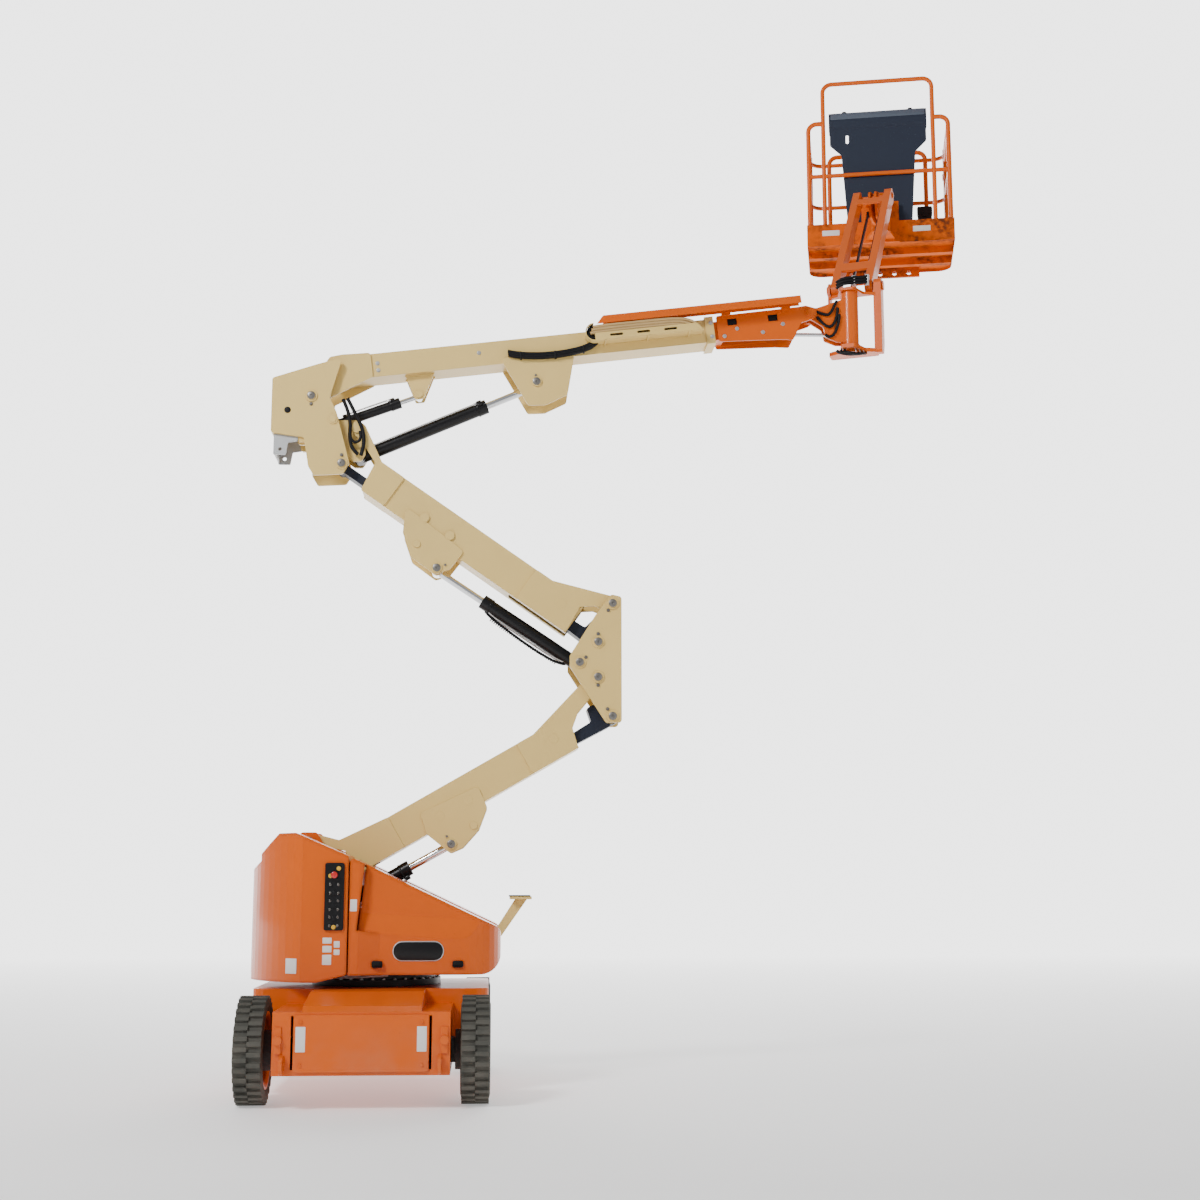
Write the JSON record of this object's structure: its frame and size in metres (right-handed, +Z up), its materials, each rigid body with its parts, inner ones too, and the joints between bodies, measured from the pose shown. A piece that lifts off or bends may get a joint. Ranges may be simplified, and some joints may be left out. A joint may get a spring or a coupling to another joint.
{
  "type": "articulating boom lift",
  "caption": "Narrow electric articulating boom lift: wheeled chassis, swinging turret, folding tower, telescopic boom, swinging jib and railed work platform.",
  "frame": {"origin": "on the floor under the turret's swing axis, midway between the axles", "axes": "+X along the boom at rest, +Y towards the steer axle, +Z up"},
  "size_m": [5.3895, 3.7231, 7.8673],
  "materials": {
    "orange": "gloss paint",
    "cream": "gloss paint",
    "black_paint": "satin paint",
    "slate": "moulded",
    "link_paint": "satin paint",
    "chrome": "polished",
    "tyre": "matt",
    "bare_grey": "satin paint",
    "iron": "painted",
    "hood": "gloss"
  },
  "bodies": {
    "chassis": {"chassis_frame": "orange", "end_covers": "orange", "drive_axle": "iron", "steer_axle": "iron", "slew_ring": "black_paint"},
    "wheel_drive_left": {"tyre_drive_left": "tyre", "rim_drive_left": "orange"},
    "wheel_drive_right": {"tyre_drive_right": "tyre", "rim_drive_right": "orange"},
    "wheel_steer_left": {"tyre_steer_left": "tyre", "rim_steer_left": "orange"},
    "wheel_steer_right": {"tyre_steer_right": "tyre", "rim_steer_right": "orange"},
    "knuckle_left": {"knuckle_left": "iron"},
    "knuckle_right": {"knuckle_right": "iron"},
    "tie_rod": {"tie_rod": "iron"},
    "turret": {"turntable_frame": "orange", "counterweight": "iron", "tail_covers": "hood", "ground_panel": "black_paint", "battery_packs": "slate", "boom_rest": "cream"},
    "hood_near": {"hood_near": "hood"},
    "hood_far": {"hood_far": "hood"},
    "lower_arm": {"lower_arm": "cream"},
    "lower_link": {"lower_link": "link_paint"},
    "lower_barrel": {"lower_barrel": "black_paint"},
    "lower_rod": {"lower_rod": "chrome"},
    "mid_upright": {"mid_upright": "cream"},
    "mid_arm": {"mid_arm": "cream"},
    "mid_link": {"mid_link": "link_paint"},
    "mid_barrel": {"mid_barrel": "black_paint"},
    "mid_rod": {"mid_rod": "chrome"},
    "upper_upright": {"upper_upright": "cream", "rear_bracket": "bare_grey"},
    "lift_barrel": {"lift_barrel": "black_paint"},
    "lift_rod": {"lift_rod": "chrome"},
    "level_barrel": {"level_barrel": "black_paint"},
    "level_rod": {"level_rod": "chrome"},
    "main_boom": {"main_boom": "cream"},
    "fly_boom": {"fly_boom": "orange"},
    "slave_barrel": {"slave_barrel": "black_paint"},
    "slave_rod": {"slave_rod": "chrome"},
    "jib_bracket": {"jib_bracket": "orange"},
    "jib_head": {"jib_head": "orange"},
    "jib_arm": {"jib_arm": "orange"},
    "jib_link": {"jib_link": "link_paint"},
    "jib_barrel": {"jib_barrel": "black_paint"},
    "jib_rod": {"jib_rod": "chrome"},
    "platform_mount": {"platform_mount": "orange"},
    "platform": {"platform_floor": "orange", "platform_rails": "orange", "console": "slate", "manual_box": "black_paint"},
    "gate": {"gate": "orange"}
  },
  "joints": [
    {"name": "drive_left_spin", "type": "hinge", "parent": "chassis", "child": "wheel_drive_left", "pos_m": [-0.661, -1, 0.3175], "axis": [1, 0, 0], "continuous": true},
    {"name": "drive_right_spin", "type": "hinge", "parent": "chassis", "child": "wheel_drive_right", "pos_m": [0.661, -1, 0.3175], "axis": [1, 0, 0], "continuous": true},
    {"name": "steer", "type": "hinge", "parent": "chassis", "child": "knuckle_left", "pos_m": [-0.52, 1, 0.3175], "axis": [0, 0, 1], "range_deg": [-36, 36]},
    {"name": "steer_right", "type": "hinge", "parent": "chassis", "child": "knuckle_right", "pos_m": [0.52, 1, 0.3175], "axis": [0, 0, 1], "range_deg": [-36, 36]},
    {"name": "tie_rod_pivot", "type": "hinge", "parent": "knuckle_left", "child": "tie_rod", "pos_m": [-0.52, 1.14, 0.3175], "axis": [0, 0, 1], "range_deg": [-36, 36]},
    {"name": "steer_left_spin", "type": "hinge", "parent": "knuckle_left", "child": "wheel_steer_left", "pos_m": [-0.661, 1, 0.3175], "axis": [1, 0, 0], "continuous": true},
    {"name": "steer_right_spin", "type": "hinge", "parent": "knuckle_right", "child": "wheel_steer_right", "pos_m": [0.661, 1, 0.3175], "axis": [1, 0, 0], "continuous": true},
    {"name": "swing", "type": "hinge", "parent": "chassis", "child": "turret", "pos_m": [0, 0, 0.735], "axis": [0, 0, 1], "range_deg": [-270, 90]},
    {"name": "hood_near_lift", "type": "hinge", "parent": "turret", "child": "hood_near", "pos_m": [0, -0.19, 1.37804], "axis": [-0.9048, 0, 0.4259], "range_deg": [0, 60]},
    {"name": "hood_far_lift", "type": "hinge", "parent": "turret", "child": "hood_far", "pos_m": [0, 0.19, 1.37804], "axis": [0.9048, 0, -0.4259], "range_deg": [0, 60]},
    {"name": "lower_lift", "type": "hinge", "parent": "turret", "child": "lower_arm", "pos_m": [-0.45, 0, 1.574], "axis": [0, -1, 0], "range_deg": [-30, 36]},
    {"name": "lower_link_pivot", "type": "hinge", "parent": "turret", "child": "lower_link", "pos_m": [-0.352, 0, 1.31], "axis": [0, -1, 0], "range_deg": [-30, 36]},
    {"name": "mid_upright_level", "type": "hinge", "parent": "lower_arm", "child": "mid_upright", "pos_m": [1.45006, 0, 2.671], "axis": [0, -1, 0], "range_deg": [-36, 30]},
    {"name": "lower_barrel_pivot", "type": "hinge", "parent": "turret", "child": "lower_barrel", "pos_m": [-0.335, 0, 1.105], "axis": [0, -1, 0], "range_deg": [-27.2, 32.34]},
    {"name": "lower_rod_slide", "type": "slide", "parent": "lower_barrel", "child": "lower_rod", "axis": [0.8747, 0, 0.4847], "range_m": [-0.2362, 0.283]},
    {"name": "mid_lift", "type": "hinge", "parent": "mid_upright", "child": "mid_arm", "pos_m": [1.54906, 0, 3.174], "axis": [0, 1, 0], "range_deg": [-37, 31]},
    {"name": "mid_link_pivot", "type": "hinge", "parent": "mid_upright", "child": "mid_link", "pos_m": [1.45106, 0, 2.91], "axis": [0, 1, 0], "range_deg": [-37, 31]},
    {"name": "upper_upright_level", "type": "hinge", "parent": "mid_arm", "child": "upper_upright", "pos_m": [-0.20274, 0, 4.38565], "axis": [0, 1, 0], "range_deg": [-31, 37]},
    {"name": "mid_barrel_pivot", "type": "hinge", "parent": "mid_upright", "child": "mid_barrel", "pos_m": [1.32606, 0, 2.77], "axis": [0, 1, 0], "range_deg": [-39.07, 32.98]},
    {"name": "mid_rod_slide", "type": "slide", "parent": "mid_barrel", "child": "mid_rod", "axis": [-0.8339, 0, 0.5519], "range_m": [-0.2895, 0.2429]},
    {"name": "main_lift", "type": "hinge", "parent": "upper_upright", "child": "main_boom", "pos_m": [-0.51674, 0, 4.59265], "axis": [0, -1, 0], "range_deg": [-7.5, 66.5]},
    {"name": "lift_barrel_pivot", "type": "hinge", "parent": "upper_upright", "child": "lift_barrel", "pos_m": [-0.18974, 0, 4.20365], "axis": [0, -1, 0], "range_deg": [-8.7, 65.31]},
    {"name": "lift_rod_slide", "type": "slide", "parent": "lift_barrel", "child": "lift_rod", "axis": [0.9155, 0, 0.4024], "range_m": [-0.0654, 0.5643]},
    {"name": "level_barrel_pivot", "type": "hinge", "parent": "upper_upright", "child": "level_barrel", "pos_m": [-0.36774, 0, 4.43065], "axis": [0, -1, 0], "range_deg": [-8.9, 67.14]},
    {"name": "level_rod_slide", "type": "slide", "parent": "level_barrel", "child": "level_rod", "axis": [0.9347, 0, 0.3553], "range_m": [-0.0297, 0.2472]},
    {"name": "telescope", "type": "slide", "parent": "main_boom", "child": "fly_boom", "axis": [0.9919, 0, 0.1271], "range_m": [0, 1.2]},
    {"name": "jib_bracket_level", "type": "hinge", "parent": "fly_boom", "child": "jib_bracket", "pos_m": [2.95982, 0, 5.29005], "axis": [0, -1, 0], "range_deg": [-66.5, 7.5]},
    {"name": "slave_barrel_pivot", "type": "hinge", "parent": "fly_boom", "child": "slave_barrel", "pos_m": [2.46684, 0, 5.14826], "axis": [0, -1, 0], "range_deg": [-12.43, 2.73]},
    {"name": "slave_rod_slide", "type": "slide", "parent": "slave_barrel", "child": "slave_rod", "axis": [0.9999, 0, 0.0104], "range_m": [-0.2082, 0.0253]},
    {"name": "jib_swing", "type": "hinge", "parent": "jib_bracket", "child": "jib_head", "pos_m": [3.26182, 0, 5.07505], "axis": [0, 0, 1], "range_deg": [-160, 20]},
    {"name": "jib_lift", "type": "hinge", "parent": "jib_head", "child": "jib_arm", "pos_m": [3.31848, 0.13347, 5.55205], "axis": [-0.9205, 0.3907, 0], "range_deg": [-36, 108]},
    {"name": "jib_link_pivot", "type": "hinge", "parent": "jib_head", "child": "jib_link", "pos_m": [3.28496, 0.18247, 5.43005], "axis": [-0.9205, 0.3907, 0], "range_deg": [-36, 108]},
    {"name": "platform_level", "type": "hinge", "parent": "jib_arm", "child": "platform_mount", "pos_m": [3.69758, 1.02658, 6.62961], "axis": [-0.9205, 0.3907, 0], "range_deg": [-108, 36]},
    {"name": "jib_barrel_pivot", "type": "hinge", "parent": "jib_head", "child": "jib_barrel", "pos_m": [3.30285, 0.09665, 5.10805], "axis": [-0.9205, 0.3907, 0], "range_deg": [-3.2, 6.6]},
    {"name": "jib_rod_slide", "type": "slide", "parent": "jib_barrel", "child": "jib_rod", "axis": [0.0982, 0.2314, 0.9679], "range_m": [-0.1879, 0.064]},
    {"name": "platform_turn", "type": "hinge", "parent": "platform_mount", "child": "platform", "pos_m": [3.82261, 1.32115, 6.48261], "axis": [0, 0, 1], "range_deg": [-98, 78]},
    {"name": "gate_swing", "type": "hinge", "parent": "platform", "child": "gate", "pos_m": [4.54205, 1.9585, 6.73761], "axis": [0, 0, -1], "range_deg": [0, 85]}
  ],
  "couplings": [
    {"joint": "steer_right", "follows": "steer", "ratio": 1},
    {"joint": "tie_rod_pivot", "follows": "steer", "ratio": -1},
    {"joint": "lower_link_pivot", "follows": "lower_lift", "ratio": 1},
    {"joint": "mid_upright_level", "follows": "lower_lift", "ratio": -1},
    {"joint": "lower_barrel_pivot", "follows": "lower_lift", "ratio": 0.8568},
    {"joint": "lower_rod_slide", "follows": "lower_lift", "m_per_rad": 0.4472},
    {"joint": "mid_link_pivot", "follows": "mid_lift", "ratio": 1},
    {"joint": "upper_upright_level", "follows": "mid_lift", "ratio": -1},
    {"joint": "mid_barrel_pivot", "follows": "mid_lift", "ratio": 1.0154},
    {"joint": "mid_rod_slide", "follows": "mid_lift", "m_per_rad": 0.4452},
    {"joint": "lift_barrel_pivot", "follows": "main_lift", "ratio": 0.9596},
    {"joint": "lift_rod_slide", "follows": "main_lift", "m_per_rad": 0.4845},
    {"joint": "level_barrel_pivot", "follows": "main_lift", "ratio": 0.987},
    {"joint": "level_rod_slide", "follows": "main_lift", "m_per_rad": 0.2113},
    {"joint": "jib_bracket_level", "follows": "main_lift", "ratio": -1},
    {"joint": "slave_barrel_pivot", "follows": "main_lift", "ratio": -0.1644},
    {"joint": "slave_rod_slide", "follows": "main_lift", "m_per_rad": -0.1777},
    {"joint": "jib_link_pivot", "follows": "jib_lift", "ratio": 1},
    {"joint": "platform_level", "follows": "jib_lift", "ratio": -1},
    {"joint": "jib_barrel_pivot", "follows": "jib_lift", "ratio": 0.0472},
    {"joint": "jib_rod_slide", "follows": "jib_lift", "m_per_rad": -0.0986}
  ]
}
